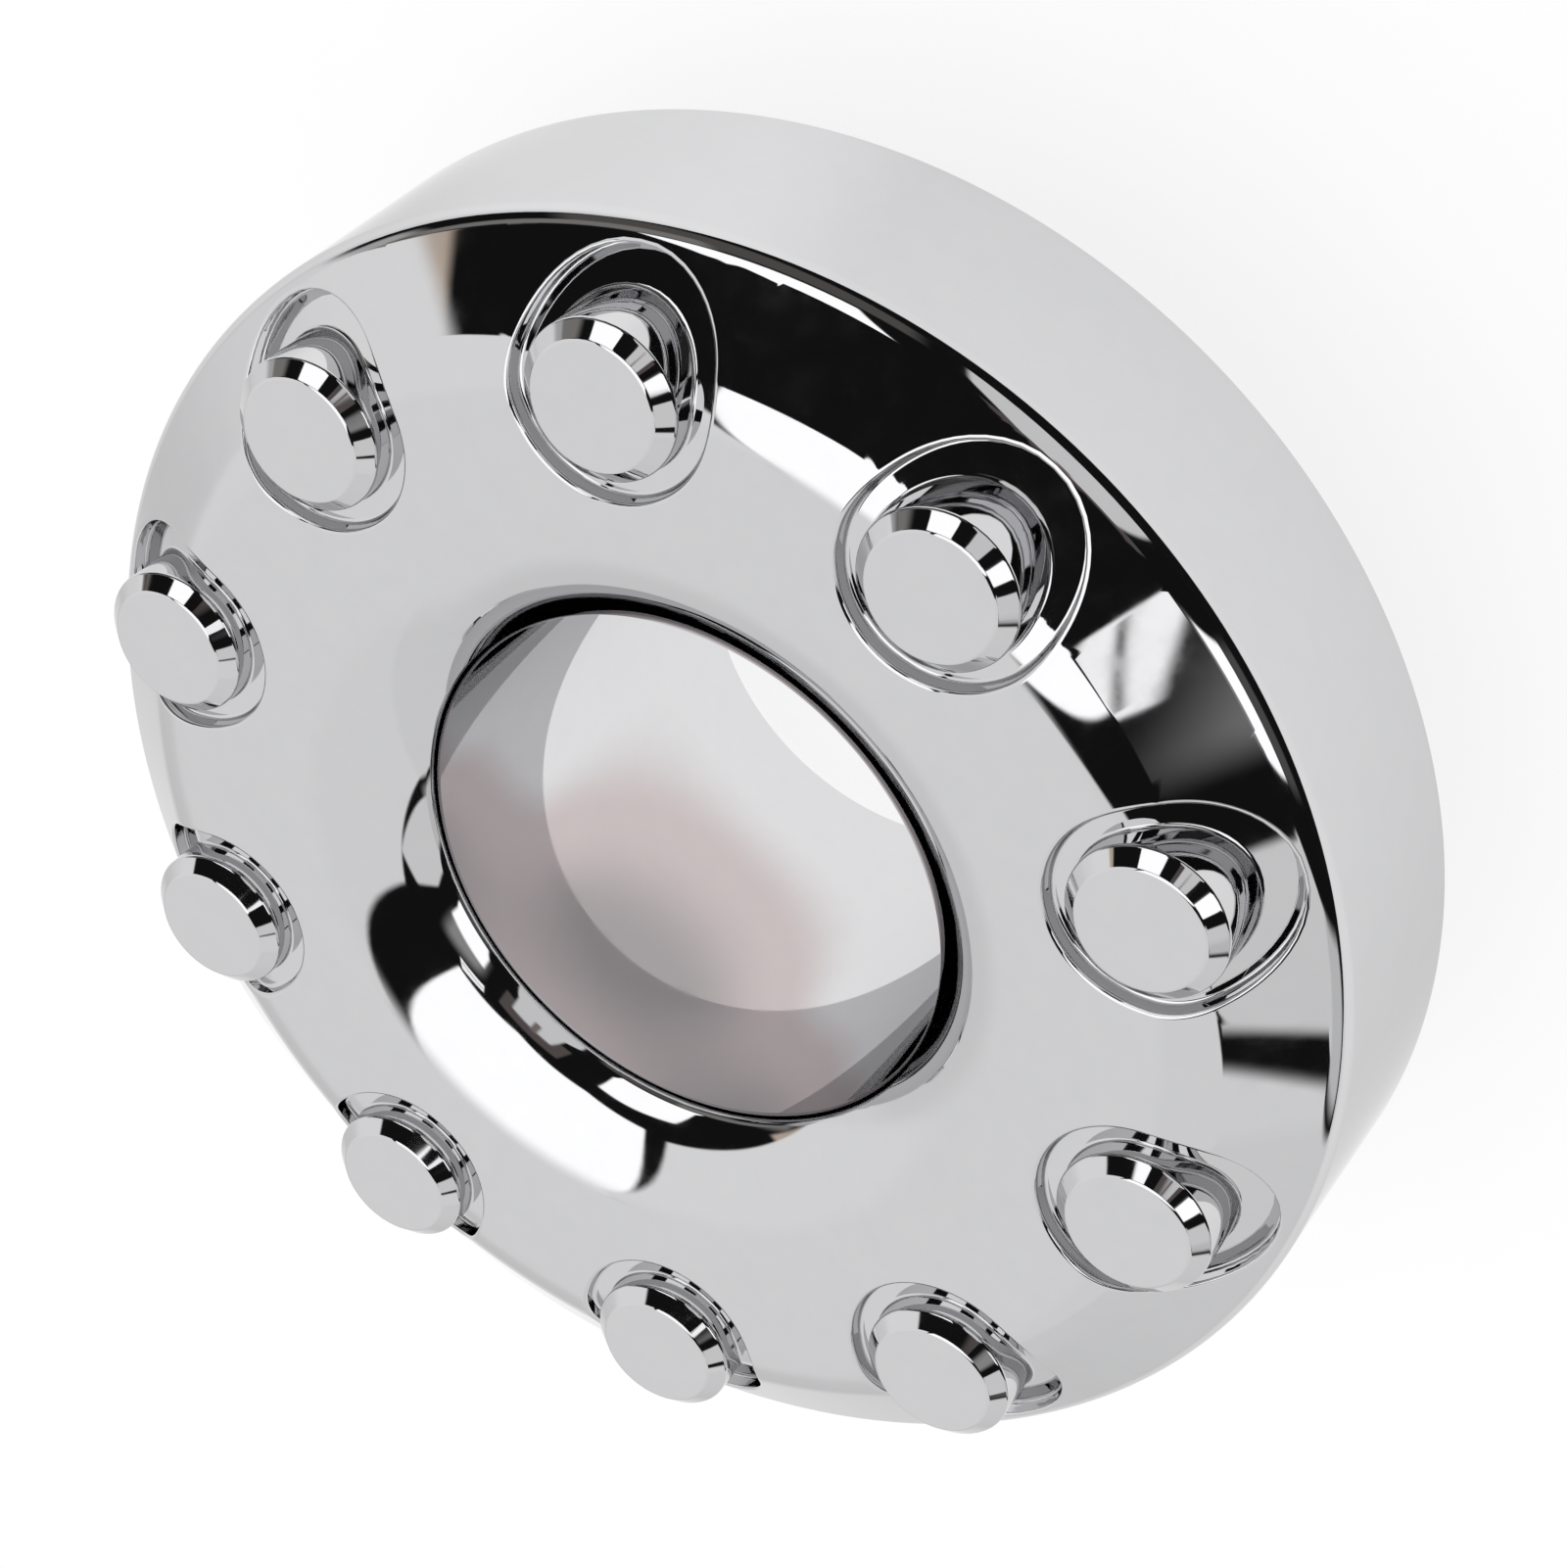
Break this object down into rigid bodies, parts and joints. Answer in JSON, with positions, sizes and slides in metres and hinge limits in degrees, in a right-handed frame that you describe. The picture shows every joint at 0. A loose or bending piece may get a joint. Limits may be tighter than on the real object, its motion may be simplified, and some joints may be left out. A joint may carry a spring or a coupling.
{
  "type": "wheel center cap",
  "caption": "Open chrome wheel center cap: a rounded front ring with raised lug covers in shallow recesses, a skirt, and a long tapered hub sleeve.",
  "frame": {"origin": "centre of the hub sleeve's back rim, on the cap's axis, where the cap stands", "axes": "+Z along the cap's axis from the wheel to the front; +X through the middle of one lug cover"},
  "size_m": [0.2816, 0.2816, 0.125],
  "materials": {
    "chrome": "bright chrome plating on a moulded body"
  },
  "bodies": {
    "root": {"center_cap": "chrome"}
  },
  "joints": []
}
